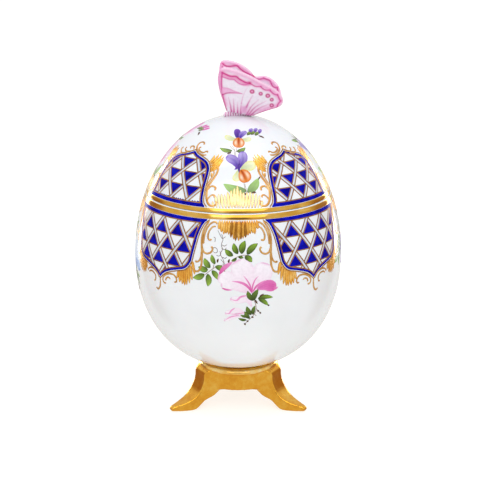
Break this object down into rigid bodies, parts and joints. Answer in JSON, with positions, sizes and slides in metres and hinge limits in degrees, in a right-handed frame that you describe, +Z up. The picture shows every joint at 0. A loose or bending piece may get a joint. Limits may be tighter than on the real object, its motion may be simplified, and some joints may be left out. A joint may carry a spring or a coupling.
{
  "type": "porcelain trinket box",
  "caption": "Egg-shaped porcelain trinket box on a gilded tripod stand, with a lift-off lid and a butterfly knob.",
  "frame": {"origin": "on the table, under the middle of the egg", "axes": "+Z up through the egg, -Y towards the front between two legs, the butterfly's head towards -X"},
  "size_m": [0.0824, 0.0824, 0.1389],
  "materials": {
    "porcelain": "high-gloss white glaze",
    "gilding": "burnished gold over porcelain",
    "butterfly_glaze": "glossy glaze, painted lilac and pink",
    "cobalt_enamel": "glossy cobalt blue",
    "gold_paint": "fired gold lines",
    "flower_enamel": "glossy overglaze enamels, hand painted"
  },
  "bodies": {
    "base": {"bowl_shell": "porcelain", "stand_ring": "gilding", "stand_leg_front_left": "gilding", "stand_leg_front_right": "gilding", "stand_leg_back": "gilding"},
    "lid": {"lid_shell": "porcelain", "butterfly_body": "butterfly_glaze", "butterfly_wing_left": "butterfly_glaze", "butterfly_wing_right": "butterfly_glaze"}
  },
  "joints": [
    {"name": "lid_lift", "type": "slide", "parent": "base", "child": "lid", "axis": [0, 0, 1], "range_m": [0, 0.09]}
  ]
}
